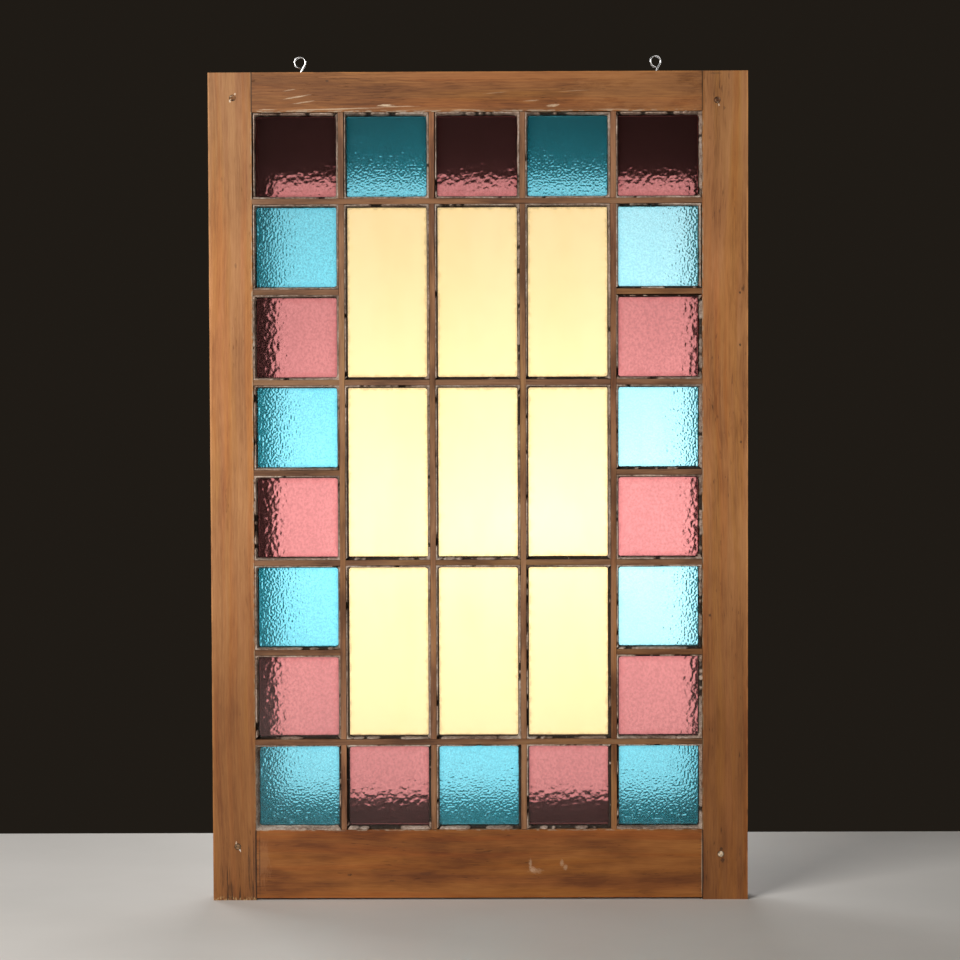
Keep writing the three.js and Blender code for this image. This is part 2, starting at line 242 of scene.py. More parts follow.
def wood(
    name, along, tones, seed, bands=0.5, clouds=1.0, streaks=0.6, hairs=0.5, rings=0.06,
    dashes=0.6, ring=3.2, heart=45.0, dusty=(), worn=(), opening=None, ends=(), end_shade=(),
    marks=(), foot=None,
):
    """Old pine, its pattern carried through the whole board.

    along is the axis of the grain and tones are its pale, middle and dark colours. bands,
    clouds, streaks, hairs, rings and dashes weigh the long soft bands, the blotches, the narrow
    streaks, the hairlines, the growth rings and the short dark resin marks. ring and heart are
    the width of a ring and the depth of the tree's heart in millimetres. dusty are the places
    across the board where putty has left its dust, along the stretch opening, and worn those of
    edges rubbed pale, with a painted highlight on them. ends are the places along the board
    where it is cut against another, end_shade the height where each band of painted shade
    starts, the one where it is full, and its tint, marks the single rubbed or dark spots and
    patches of painted light and shade, and foot the height and rise of a weathered end.
    """
    finish = Finish(name)
    pale, middle, dark = tones
    run, across = (finish.z, finish.x) if along == "Z" else (finish.x, finish.z)
    deep = finish.y
    sway = finish.noise(run * 1.9 + seed, across * 7.0, deep * 7.0 + seed, 2.0)
    line = across + (sway - 0.5) * 0.030 + seed * 0.013
    ripple = finish.noise(run * 26.0 + seed, across * 45.0, deep * 45.0, 2.0)
    wavy = line + (ripple - 0.5) * 0.0045
    band = finish.noise(run * 1.7 + seed, line * 110.0, deep * 90.0, 2.0, 0.6)
    cloud = finish.noise(run * 9.0 + seed, across * 34.0, deep * 30.0, 4.0, 0.55)
    streak = finish.noise(run * 19.0 + seed, wavy * 380.0, deep * 350.0, 4.0, 0.65)
    hair = finish.noise(run * 42.0 - seed, wavy * 850.0, deep * 780.0, 3.0, 0.65)
    fibre = finish.noise(run * 60.0, line * 1500.0, deep * 1500.0 + seed, 1.0)
    late = growth_rings(finish, run, across, line, seed, ring, heart)
    dash = finish.noise(run * 75.0 + seed, line * 480.0, deep * 420.0, 2.0).step(0.64, 0.78)
    dash = dash * cloud.step(0.40, 0.60)
    tone = 0.5 + (band - 0.5) * (1.5 * bands) + (cloud - 0.5) * (1.5 * clouds)
    tone = tone + (streak - 0.5) * streaks + (hair - 0.5) * hairs + (fibre - 0.5) * 0.40
    tone = tone + (late - 0.35) * rings
    colour = finish.ramp(tone, (0.16, pale), (0.50, middle), (0.86, dark))
    for stretch, width, low, high, weight, tint in HUES:
        patch = finish.noise(run * stretch + seed, line * width + stretch, deep * width, 2.0)
        colour = finish.mix(patch.step(low, high) * weight, colour, tint, "MULTIPLY")
    colour = finish.mix(dash * dashes, colour, shade(dark, 0.45))
    height = hair * 0.3 + streak * 0.3 - dash * 0.7 - late * (rings * 0.8)
    # Rubbed pale wear along the outer arrises, with a painted highlight on them
    for place in worn:
        colour = rubbed_and_highlit_edge(finish, colour, run, across, seed, place, shade(pale, 1.5))
    for place, reach in dusty:
        colour = putty_dust(finish, colour, run, across, seed, place, reach, opening)
    for place in ends:
        colour = cut_end(finish, colour, run, across, seed, place, shade(dark, 0.6))
    # Painted shade at the ends of the stiles, where the light falls off
    for start, full, tint in end_shade:
        colour = finish.mix(finish.z.step(start, full), colour, tint, "MULTIPLY")
    for mark in marks:
        colour = paint_mark(finish, colour, mark)
    if foot is not None:
        colour, height = weathered_foot(finish, colour, height, foot, across)
    return finish.set(
        Base_Color=colour,
        Roughness=0.46 + streak * 0.2 + dash * 0.2,
        Specular_IOR_Level=0.32,
        Normal=finish.bump(height, 0.6, 0.3 * MM),
    )


def growth_rings(finish, run, across, line, seed, ring, heart):
    """Late wood: 1 in the dark half of each ring round the tree's heart."""
    deep = finish.y
    radius = (line * line + (deep - heart * MM) ** 2.0) ** 0.5
    uneven = finish.noise(run * 6.0, across * 40.0 + seed, deep * 40.0, 2.0)
    return ((radius * (2 * math.pi / (ring * MM)) + uneven * 9.0).sine() * 0.5 + 0.5) ** 2.5


def rubbed_and_highlit_edge(finish, colour, run, across, seed, place, tint):
    """Bare pale patches and a painted highlight along the two arrises at one outer edge of the
    board.
    """
    to_arris = ((across - place) ** 2.0 + (finish.y.size() + FRONT_Y) ** 2.0) ** 0.5
    near = to_arris.step(2.6 * MM, 0.4 * MM)
    patchy = finish.noise(run * 30.0 + seed, across * 120.0, finish.y * 120.0, 3.0)
    return finish.mix(near * patchy.step(0.36, 0.56) * 0.55, colour, tint)


def putty_dust(finish, colour, run, across, seed, place, reach, opening):
    """Dust beside the wall of the rebate, and past the opening the dark line of the joint."""
    inside = 1.0
    if opening is not None:
        inside = run.step(opening[0] - MM, opening[0]) * run.step(opening[1] + MM, opening[1])
    apart = (across - place).size()
    crumbs = finish.noise(run * 110.0, across * 420.0, finish.y * 420.0 + seed, 3.0, 0.6)
    dust = apart.step(reach * MM, 0.2 * MM) * crumbs.step(0.46, 0.60) * 0.7
    colour = finish.mix(dust * inside, colour, PUTTY_DUST)
    return finish.mix(apart.step(1.3 * MM, 0.2 * MM) * (1 - inside) * 0.7, colour, DARK_LINE)


def cut_end(finish, colour, run, across, seed, place, tint):
    """The end of a rail against a stile: darker fibres and the dark line of the joint."""
    apart = (run - place).size()
    comb = finish.noise(run * 60.0, across * 430.0, finish.y * 100.0 + seed, 2.0)
    darker = apart.step(7 * MM, 2 * MM) * comb.step(0.50, 0.62) * 0.45
    colour = finish.mix(darker, colour, tint)
    return finish.mix(apart.step(1.4 * MM, 0.3 * MM) * 0.7, colour, DARK_LINE)


def paint_mark(finish, colour, mark):
    """One rubbed, scratched or dark spot, or a patch of painted light or shade: its centre and
    half sizes in millimetres on the face.

    lean is how far the spot climbs for each millimetre to the right.
    """
    x, z, wide, high, tint, strength, lean = mark
    aside = finish.x - x * MM
    climb = finish.z - z * MM - aside * lean
    outward = aside / (wide * MM)
    upward = climb / (high * MM)
    ragged = finish.noise(outward * 3.0 + x, finish.y * 100.0, upward * 3.0 + z, 4.0, 0.75)
    cover = (outward ** 2.0 + upward ** 2.0 + (ragged - 0.5) * 4.4).step(1.0, 0.1)
    on_front = finish.y.step(FRONT_Y + 4 * MM, FRONT_Y + 1 * MM)
    return finish.mix(cover * on_front * strength, colour, tint)


def weathered_foot(finish, colour, height, foot, across):
    """The foot of a stile: darker towards its end, with a few open checks and pale splinters."""
    end, rise = foot
    near = finish.z.step(end + rise * MM, end)
    colour = finish.mix(near * 0.5, colour, (0.74, 0.62, 0.48), "MULTIPLY")
    check = finish.noise(finish.z * 22.0, across * 420.0, finish.y * 90.0, 3.0, 0.6)
    split = (check + near * 0.14).step(0.64, 0.72) * near.step(0.10, 0.6)
    colour = finish.mix(split * 0.8, colour, DARK_SPOT)
    splinter = finish.noise(finish.z * 260.0, across * 520.0, finish.y * 300.0, 2.0)
    ends = finish.z.step(end + 6 * MM, end + 1 * MM) * splinter.step(0.50, 0.62)
    colour = finish.mix(ends * 0.7, colour, (0.50, 0.34, 0.16))
    return colour, height - split * 2.0


# Tones of the timber: pale, middle, dark
LEFT_STILE_PINE = ((0.465, 0.222, 0.086), (0.375, 0.165, 0.058), (0.250, 0.096, 0.030))
RIGHT_STILE_PINE = ((0.435, 0.197, 0.070), (0.350, 0.149, 0.049), (0.212, 0.078, 0.022))
TOP_RAIL_PINE = ((0.305, 0.128, 0.036), (0.220, 0.084, 0.021), (0.122, 0.041, 0.009))
BOTTOM_RAIL_PINE = ((0.316, 0.118, 0.025), (0.234, 0.079, 0.014), (0.128, 0.038, 0.006))
BAR_PINE = ((0.320, 0.165, 0.080), (0.225, 0.105, 0.048), (0.110, 0.045, 0.018))
CROSS_BAR_PINE = tuple(shade(tone, 0.76) for tone in BAR_PINE)
# Painted shade at the stiles' ends: the height where each starts, where it is full, and its tint
PAINTED_END_SHADE = (
    (-0.44, -0.80, (0.62, 0.54, 0.40)),
    (-0.30, -0.02, (0.84, 0.87, 0.87)),
)


def beside(node, *marks):
    """Marks placed from the middle of a pin: right, up, then as other marks are."""
    low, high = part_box(node)
    x, z = (low.x + high.x) / 2 / MM, (low.z + high.z) / 2 / MM
    return tuple((x + right, z + up, *rest) for right, up, *rest in marks)


# Marks on the face: x, z, half width, half height in mm, colour, strength, lean
TOP_RAIL_MARKS = (
    (20, -4.5, 235, 5.0, (0.36, 0.150, 0.048), 0.45, 0.0),
    # The broad darker patch at the left end is painted shade, and the broad paler one at the right
    # end painted light
    (-215, -24, 70, 30, (0.165, 0.056, 0.011), 0.30, 0.0),
    (195, -22, 90, 34, (0.36, 0.160, 0.058), 0.32, 0.0),
    (-205, -28, 16, 1.0, WHITE_RUB, 0.60, 0.16),
    (-197, -34, 14, 0.8, WHITE_RUB, 0.50, 0.14),
    (-212, -20, 9, 0.7, WHITE_RUB, 0.35, 0.16),
    (-104, -37.5, 10, 1.2, WHITE_RUB, 0.95, 0.02),
    (-92, -39, 26, 0.8, WHITE_RUB, 0.60, 0.01),
    (-158, -41.5, 58, 1.0, WHITE_RUB, 0.60, 0.025),
    (85, -38.5, 8, 1.8, WHITE_RUB, 0.65, 0.10),
    (60, -33, 10, 0.9, WHITE_RUB, 0.35, 0.05),
    (-170, -10, 2.4, 1.2, DARK_SPOT, 0.70, 0.0),
    (-238, -42, 12, 0.8, WHITE_RUB, 0.50, 0.0),
    (-15, -43, 16, 0.7, WHITE_RUB, 0.45, 0.0),
    (150, -43, 20, 0.6, WHITE_RUB, 0.40, 0.0),
    (20, -24, 16, 0.5, WHITE_RUB, 0.25, 0.08),
    (110, -22, 20, 0.5, WHITE_RUB, 0.25, 0.05),
)
BOTTOM_RAIL_MARKS = (
    (57, -900, 2.0, 7, WHITE_RUB, 0.32, 0.0),
    (63, -908, 9, 3.6, WHITE_RUB, 0.18, 0.0),
    (60, -906, 4, 3.4, (0.60, 0.40, 0.27), 0.40, 0.0),
    (93, -899, 2.4, 4.5, WHITE_RUB, 0.30, 0.0),
    (97, -904, 2.8, 4.0, WHITE_RUB, 0.28, 0.0),
    (-149, -912, 3.4, 1.5, DARK_SPOT, 0.75, 0.0),
    (-98, -881, 4.0, 1.2, DARK_SPOT, 0.35, 0.0),
    (-101, -919, 4.5, 1.0, DARK_SPOT, 0.55, 0.0),
    (-62, -911, 9.0, 2.5, DARK_SPOT, 0.25, 0.0),
    (-248, -898, 9, 30, (0.30, 0.13, 0.05), 0.45, 0.0),
    (-252, -900, 0.8, 45, DARK_LINE, 0.60, 0.0),
    (252.6, -900, 0.7, 45, (0.42, 0.33, 0.24), 0.60, 0.0),
)
LEFT_STILE_MARKS = (
    (-275, -218, 1.6, 3.4, DARK_SPOT, 0.35, 0.0),
    (-290, -120, 1.2, 3.0, DARK_SPOT, 0.25, 0.0),
    (-256.6, -898, 0.8, 46, DARK_LINE, 0.90, 0.0),
    *beside(
        "pin_top_left",
        (-3.0, -3.6, 1.4, 1.9, PALE_CHIP, 0.85, 0.0),
        (2.6, 4.2, 1.3, 1.6, PALE_CHIP, 0.75, 0.3),
    ),
    *beside(
        "pin_bottom_left",
        (-1.6, 3.6, 1.0, 3.2, PALE_CHIP, 0.70, 0.0),
        (2.2, -3.2, 1.6, 1.9, (0.80, 0.74, 0.66), 0.95, -1.6),
    ),
    (-258.6, -895, 0.9, 34, DARK_SPOT, 0.70, 0.0),
    (-264, -900, 2.0, 26, DARK_SPOT, 0.55, 0.0),
)
RIGHT_STILE_MARKS = (
    (296, -250, 1.4, 1.8, DARK_SPOT, 0.95, 0.0),
    (296, -309, 1.4, 2.0, DARK_SPOT, 0.95, 0.0),
    (297, -419, 1.3, 1.8, DARK_SPOT, 0.95, 0.0),
    (262, -616, 1.6, 2.0, DARK_SPOT, 0.90, 0.0),
    (254.2, -898, 0.7, 46, DARK_LINE, 0.85, 0.0),
    (268, -3, 8, 1.2, DARK_SPOT, 0.45, 0.0),
    *beside(
        "pin_top_right",
        (1.8, -5.4, 1.0, 1.7, PALE_CHIP, 0.80, 0.0),
        (8.0, -9.0, 1.6, 2.4, DARK_SPOT, 0.45, 0.0),
    ),
    *beside(
        "pin_bottom_right",
        (0.5, 5.5, 2.4, 2.6, DARK_LINE, 0.75, 0.0),
        (2.0, -7.0, 2.8, 3.4, DARK_LINE, 0.65, 0.0),
    ),
)


# Putty, pegs, metal, glass and floor

def putty():
    """Dry putty: pale crumbling ridges, with painted shade and grime, near black where it has broken
    away.
    """
    finish = Finish("putty")
    lump = finish.noise(finish.x * 260.0, finish.y * 260.0, finish.z * 260.0, 4.0, 0.65)
    crumb = finish.noise(finish.x * 1100.0, finish.y * 1100.0, finish.z * 1100.0, 3.0, 0.6)
    patch = finish.noise(finish.x * 30.0, finish.y * 30.0, finish.z * 30.0, 3.0)
    tone = 0.5 + (lump - 0.5) * 1.3 + (crumb - 0.5) * 0.8 + (patch - 0.5) * 1.2
    colour = finish.ramp(
        tone,
        (0.20, (0.125, 0.082, 0.060)),
        (0.42, (0.270, 0.188, 0.142)),
        (0.62, (0.400, 0.300, 0.238)),
        (0.85, (0.590, 0.490, 0.415)),
    )
    greyer = finish.noise(finish.x * 12.0, finish.y * 12.0, finish.z * 12.0 + 4.0, 2.0)
    colour = finish.mix(greyer.step(0.46, 0.60) * 0.6, colour, (0.84, 0.92, 0.96), "MULTIPLY")
    # Painted shade and grime: darker low in the rebate, near black where the bead has broken away
    grime = (finish.layer("grime") + (crumb - 0.5) * 0.5 + (lump - 0.5) * 0.5).step(0.25, 0.70)
    colour = finish.mix(grime * 0.94, colour, (0.016, 0.011, 0.008))
    fleck = finish.noise(finish.x * 420.0, finish.y * 420.0, finish.z * 420.0 + 9.0, 1.0)
    colour = finish.mix(fleck.step(0.73, 0.80) * 0.7, colour, (0.66, 0.58, 0.48))
    return finish.set(
        Base_Color=colour,
        Roughness=0.88,
        Specular_IOR_Level=0.2,
        Normal=finish.bump(lump * 0.7 + crumb * 0.5, 0.8, 0.5 * MM),
    )


def peg_end(name, tint, chip):
    """The end of a peg: open pores, a dark rim and a pale chipped edge."""
    finish = Finish(name)
    pores = finish.noise(finish.x * 1400.0, finish.y * 60.0, finish.z * 1400.0, 3.0, 0.7)
    patch = finish.noise(finish.x * 330.0, finish.y * 40.0, finish.z * 330.0, 2.0)
    tone = 0.5 + (pores - 0.5) * 0.9 + (patch - 0.5) * 1.6
    colour = finish.ramp(tone, (0.22, shade(tint, 0.3)), (0.50, tint), (0.80, shade(tint, 1.9)))
    rim = finish.layer("rim")
    colour = finish.mix(rim.step(0.80, 0.97) * 0.8, colour, DARK_LINE)
    broken = finish.noise(finish.x * 420.0, finish.y * 10.0, finish.z * 420.0 + 3.0, 2.0)
    colour = finish.mix(broken.step(0.54, 0.62) * rim.step(0.45, 0.75) * chip, colour, WHITE_RUB)
    return finish.set(
        Base_Color=colour,
        Roughness=0.8,
        Specular_IOR_Level=0.25,
        Normal=finish.bump(pores + patch, 0.7, 0.3 * MM),
    )


def bright_wire():
    """Bright wire with a faint haze."""
    finish = Finish("bright_wire")
    haze = finish.noise(finish.x * 900.0, finish.y * 900.0, finish.z * 900.0, 3.0)
    colour = finish.ramp(haze, (0.35, (0.60, 0.61, 0.62)), (0.62, (0.88, 0.89, 0.90)))
    return finish.set(
        Base_Color=colour,
        Metallic=1.0,
        Roughness=0.16 + haze * 0.18,
        Normal=finish.bump(haze, 0.15, 0.1 * MM),
    )


def cast_glass(name, tint, streak_tint, rough, frost, frost_tint, wrinkles, uneven, darkening):
    """Coloured glass with faint streaks and seeds in its body, and darker along its edges.

    frost is the share of the light that each face scatters widely, in frost_tint. wrinkles is
    how many changes of thickness, which deepen the colour, come to a metre, and uneven their
    weight.
    """
    finish = Finish(name)
    drift = finish.noise(finish.x * 9.0, finish.y * 9.0, finish.z * 3.4, 4.0, 0.6)
    colour = finish.mix(drift.step(0.40, 0.66), tint, streak_tint)
    thick = finish.noise(finish.x * wrinkles, finish.y * 40.0, finish.z * (wrinkles * 0.8), 3.0)
    colour = finish.mix(thick.step(0.36, 0.66) * uneven, colour, shade(tint, 0.60))
    smear = finish.noise(finish.x * 120.0, finish.y * 40.0, finish.z * 120.0, 4.0, 0.65)
    grain = finish.noise(finish.x * 800.0, finish.y * 40.0, finish.z * 800.0, 2.0)
    rim = finish.layer("rim")
    deeper = tuple(value ** 1.6 for value in tint)
    around = (rim + (smear - 0.5) * 0.016).step(10.0 * MM, 3.5 * MM)
    colour = finish.mix(around * 0.45, colour, deeper)
    edge = (rim + (smear - 0.5) * 0.008).step(5.4 * MM, 2.4 * MM)
    colour = finish.mix(edge * darkening, colour, shade(tint, 0.28))
    seed = finish.cells(finish.x * 95.0, finish.y * 95.0, finish.z * 95.0).step(0.10, 0.05)
    colour = finish.mix(seed * smear.step(0.48, 0.60) * 0.5, colour, shade(tint, 0.5))
    finish.set(
        Base_Color=colour,
        Roughness=rough,
        IOR=1.5,
        Transmission_Weight=1.0,
        Normal=finish.bump(smear * 0.4 + grain, 0.25, 0.06 * MM),
    )
    dull = finish.mix(thick.step(0.30, 0.70) * 0.5, frost_tint, shade(frost_tint, 0.5))
    frosted = {
        "Base Color": dull, "Roughness": 0.75, "IOR": 1.5, "Transmission Weight": 1.0,
        "Specular IOR Level": 0.0,
    }
    scattering = finish.add("ShaderNodeBsdfPrincipled", None, frosted).outputs[0]
    both = {0: frost, 1: finish.shader.outputs[0], 2: scattering}
    blend = finish.add("ShaderNodeMixShader", None, both).outputs[0]
    finish.feed(finish.tree.nodes["Material Output"].inputs["Surface"], blend)
    return finish.material


def pale_floor():
    """A plain pale floor with the slightest clouding."""
    finish = Finish("pale_floor")
    cloud = finish.noise(finish.x * 2.2, finish.y * 2.2, finish.z, 4.0, 0.6)
    colour = finish.ramp(cloud, (0.3, (0.64, 0.62, 0.59)), (0.7, (0.72, 0.70, 0.67)))
    return finish.set(Base_Color=colour, Roughness=0.6)


# Building pieces

def finish_piece(name, bm, material, nodes=(), smooth_below=None):
    """Makes a piece from a bmesh: its object, material, body and the nodes it stands for."""
    mesh = bpy.data.meshes.new(name)
    bm.to_mesh(mesh)
    bm.free()
    if smooth_below is not None:
        mesh.polygons.foreach_set("use_smooth", [True] * len(mesh.polygons))
        mesh.set_sharp_from_angle(angle=math.radians(smooth_below))
    return place_piece(bpy.data.objects.new(name, mesh), material, nodes)


def place_piece(made, material, nodes=()):
    """Gives a made piece its material, body and the nodes it stands for."""
    made.data.materials.append(material)
    bpy.context.scene.collection.objects.link(made)
    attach(made, "root")
    if nodes:
        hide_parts(*nodes)
    return made


def merged_copy(node):
    """A clean copy of a node's mesh, with its flat faces whole."""
    bm = bmesh.new()
    bm.from_mesh(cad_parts[node].data)
    bmesh.ops.remove_doubles(bm, verts=bm.verts, dist=0.002 * MM)
    bmesh.ops.dissolve_limit(bm, angle_limit=math.radians(1), verts=bm.verts, edges=bm.edges)
    return bm


def slice_along(bm, axis, pitch):
    """Cuts the mesh across an axis at even steps, so that its long edges can waver."""
    low = min(vert.co[axis] for vert in bm.verts)
    high = max(vert.co[axis] for vert in bm.verts)
    normal = Vector((0, 0, 0))
    normal[axis] = 1
    for step in range(1, math.floor((high - low) / pitch)):
        place = Vector((0, 0, 0))
        place[axis] = low + step * pitch
        geometry = bm.verts[:] + bm.edges[:] + bm.faces[:]
        bmesh.ops.bisect_plane(bm, geom=geometry, plane_co=place, plane_no=normal)


def ease_edges(bm, width, sharper_than=35):
    """Rounds every outer corner a little, as handling and sandpaper do."""
    limit = math.radians(sharper_than)
    corners = [
        edge
        for edge in bm.edges
        if len(edge.link_faces) == 2
        and edge.is_convex
        and edge.calc_face_angle(0) > limit
        and edge.calc_length() > 0.4 * MM
    ]
    bmesh.ops.bevel(
        bm, geom=corners, offset=width, offset_type="OFFSET", segments=2, profile=0.5,
        affect="EDGES", clamp_overlap=True, material=-1,
    )


# The boards waver in the same way each time that the sash is made
noise.seed_set(5)

SQUARE_TO_FACE = math.cos(math.radians(4))


def waver(bm, amount, seed, low, high):
    """Moves each point a little along slow noise, hardly in depth, and never out of the box."""
    shift = Vector((seed * 3.1, seed * 1.7, seed * 2.3))
    for vert in bm.verts:
        slow = noise.noise_vector(vert.co * 38 + shift) * amount
        fine = noise.noise_vector(vert.co * 160 + shift) * (amount * 0.5)
        drift = slow + fine
        drift.y *= 0.1
        moved = vert.co + drift
        for axis in range(3):
            moved[axis] = min(max(moved[axis], low[axis]), high[axis])
        vert.co = moved


def wooden_piece(node, material, axis, pitch, ease, drift, seed):
    """A board or bar: a copy of its solid with eased edges and a slight waver."""
    bm = merged_copy(node)
    low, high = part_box(node)
    slice_along(bm, axis, pitch)
    ease_edges(bm, ease)
    waver(bm, drift, seed, low, high)
    board = finish_piece(node + "_worn", bm, material, (node,), smooth_below=20)
    for face in board.data.polygons:
        if abs(face.normal.y) > SQUARE_TO_FACE:
            face.use_smooth = False
    return board


# Glass panes

def hammered(place):
    """Fine steep hammered surface, in metres."""
    first = noise.noise(place * 500)
    second = noise.noise(place * 850 + Vector((5.2, 1.3, 0)))
    return (first * 0.19 + second * 0.075) * MM


def rippled(place):
    """Coarser ripples with sharper creases between them."""
    broad = noise.noise(place * 210)
    crease = 0.5 - abs(noise.noise(place * 370 + Vector((0, 4.4, 0))))
    fine = noise.noise(place * 600)
    return (broad * 0.12 + crease * 0.11 + fine * 0.055) * MM


def drawn(place):
    """Nearly smooth glass, drawn with long slow waves."""
    return noise.noise(Vector((place.x * 34, place.y, place.z * 14))) * 0.06 * MM


DEEPEST_RELIEF = 0.40 * MM


def glass_pane(node, material, slot, relief, pitch, seed):
    """A pane with its relief on the room side and a flat side towards the putty."""
    low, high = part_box(node)
    middle = (low + high) / 2
    size = high - low
    bm = bmesh.new()
    bmesh.ops.create_grid(
        bm, x_segments=round(size.x / pitch), y_segments=round(size.z / pitch), size=0.5
    )
    for vert in bm.verts:
        place = Vector((middle.x + vert.co.x * size.x, seed, middle.z + vert.co.y * size.z))
        rise = min(max(relief(place), -DEEPEST_RELIEF), DEEPEST_RELIEF)
        vert.co = Vector((place.x, high.y - DEEPEST_RELIEF + rise, place.z))
    rim_edges = [edge for edge in bm.edges if edge.is_boundary]
    walls = bmesh.ops.extrude_edge_only(bm, edges=rim_edges)["geom"]
    for vert in (item for item in walls if isinstance(item, bmesh.types.BMVert)):
        vert.co.y = low.y
    outline = [item for item in walls if isinstance(item, bmesh.types.BMEdge) and item.is_boundary]
    bmesh.ops.contextual_create(bm, geom=outline)
    bmesh.ops.recalc_face_normals(bm, faces=bm.faces)
    rim = bm.verts.layers.float.new("rim")
    for vert in bm.verts:
        aside = size.x / 2 - abs(vert.co.x - middle.x)
        above = size.z / 2 - abs(vert.co.z - middle.z)
        vert[rim] = min(aside, above)
    return finish_piece(node + "_glass", bm, material, (node,), smooth_below=50)


# Putty beads

SIDES = ("bottom", "right", "top", "left")
BEAD_STEP = 1.25 * MM
SECTION_POINTS = 6
BEAD_LIFT = 0.12 * MM        # clear of the glass
FRAME_BEAD = 4.4 * MM        # widest bead against the frame
BAR_BEAD = 3.3 * MM          # widest bead against a bar

# How much of each bead has broken away, where it differs from the rest
USUAL_LOSS = 0.17
LOSS = {
    ("r1_c1", "left"): 0.20, ("r1_c1", "top"): 0.36, ("r1_c2", "top"): 0.30,
    ("r1_c3", "top"): 0.40, ("r1_c4", "top"): 0.50, ("r1_c5", "top"): 0.42,
    ("r1_c5", "right"): 0.36, ("r2_c2", "bottom"): 0.80, ("r2_c3", "bottom"): 0.85,
    ("r2_c3", "right"): 0.38, ("r2_c3", "top"): 0.32, ("r2_c4", "bottom"): 0.70,
    ("r2_c5", "bottom"): 0.70, ("r3_c1", "bottom"): 0.30, ("r3_c5", "top"): 0.65,
    ("r3_c5", "right"): 0.50, ("r4_c2", "bottom"): 0.75, ("r4_c2", "top"): 0.60,
    ("r4_c3", "bottom"): 0.62, ("r4_c3", "right"): 0.36, ("r4_c4", "bottom"): 0.80,
    ("r4_c5", "bottom"): 0.65, ("r5_c1", "left"): 0.45, ("r5_c5", "right"): 0.45,
    ("r6_c2", "bottom"): 0.55, ("r6_c3", "bottom"): 0.50, ("r6_c3", "left"): 0.34,
    ("r6_c4", "bottom"): 0.50, ("r6_c4", "left"): 0.50, ("r6_c4", "right"): 0.85,
    ("r6_c5", "bottom"): 0.60, ("r6_c5", "right"): 0.45, ("r7_c1", "bottom"): 0.70,
    ("r7_c5", "top"): 0.60, ("r7_c5", "right"): 0.50, ("r8_c1", "bottom"): 0.02,
    ("r8_c1", "left"): 0.10, ("r8_c1", "right"): 0.70, ("r8_c2", "left"): 0.95,
    ("r8_c2", "right"): 0.90, ("r8_c2", "bottom"): 0.60, ("r8_c3", "left"): 0.30,
    ("r8_c3", "right"): 0.95, ("r8_c3", "bottom"): 0.55, ("r8_c4", "right"): 0.95,
    ("r8_c4", "bottom"): 0.70, ("r8_c5", "bottom"): 0.25, ("r8_c5", "left"): 0.60,
}
FULL_BELOW = 0.15            # a bead that has lost less than this still has its slope

# Beads that have drawn back from the wood, by how many millimetres
SHRUNK = {
    ("r1_c1", "left"): 1.6, ("r1_c1", "top"): 0.7, ("r1_c2", "left"): 0.8, ("r1_c3", "left"): 0.9,
    ("r1_c4", "top"): 0.8, ("r1_c5", "top"): 0.5, ("r2_c1", "left"): 0.9, ("r3_c5", "top"): 0.9,
    ("r2_c5", "right"): 1.2, ("r4_c1", "left"): 0.8, ("r6_c5", "right"): 0.7,
}


def bead_section(place, shift, room, loss, shrinkage, corner):
    """The section of a bead at one place.

    Each point is its distance from the wall, its height above the glass and its grime and painted
    shade, darkest at the foot by the wall, low on the slope and where it has broken away. room is
    the widest that the bead may be and the height of the wall above the glass. shrinkage is the
    gap in millimetres that it has drawn back from the wood, and corner its extra width.
    """
    widest, wall = room
    slow = noise.noise(place * 26 + shift)
    mid = noise.noise(place * 95 + shift)
    fine = noise.noise(place * 340 + shift)
    broken = 0.9 * noise.noise(place * 44 - shift) + 0.6 * noise.noise(place * 150 + shift * 2)
    lost = min(max((broken - 0.55 + 1.25 * loss) * 2.8, 0.0), 1.0)
    shrunk = 0.35 + 0.5 * noise.noise(place * 37 - shift * 3) + 0.2 * noise.noise(place * 200)
    gap = min(max(shrunk + shrinkage, 0.0), 2.4) * MM
    if loss < FULL_BELOW:
        lost *= 0.3
        gap = 0.0
    top = wall * (0.95 + 0.03 * slow + 0.03 * mid) * (1 - 0.62 * lost)
    top = max(min(top, wall - 0.1 * MM), 0.6 * MM)
    reach = widest * (0.86 + 0.12 * slow + 0.12 * mid + 0.08 * fine) * (1 - 0.10 * lost)
    reach = max(min(reach, widest), gap + 1.2 * MM) + corner
    body = reach - gap
    if loss < FULL_BELOW:
        steps = ((0.0, 1.0), (0.35, 0.86), (0.62, 0.55), (0.92, 0.12))
    else:
        steps = ((0.0, 0.96), (0.45, 1.0), (0.72, 0.70), (0.92, 0.25))
    section = [(gap, 0.0, 1.0)]
    for part, share in steps:
        # Grime and painted shade: more low on the slope and where the bead has broken away
        depth = 0.0 if loss < FULL_BELOW else max(0.0, 0.60 - share) * 1.3
        section.append((gap + part * body, top * share, min(1.0, depth + 0.9 * lost)))
    section.append((reach, 0.0, 0.15 if loss < FULL_BELOW else 1.0))
    return section


def bead_room(side, wall_place):
    """The bead may be wider where the pane meets the frame than where it meets a bar."""
    frame_wall = (WALL_BOTTOM, WALL_RIGHT, WALL_TOP, WALL_LEFT)[side]
    return FRAME_BEAD if abs(wall_place - frame_wall) < MM else BAR_BEAD


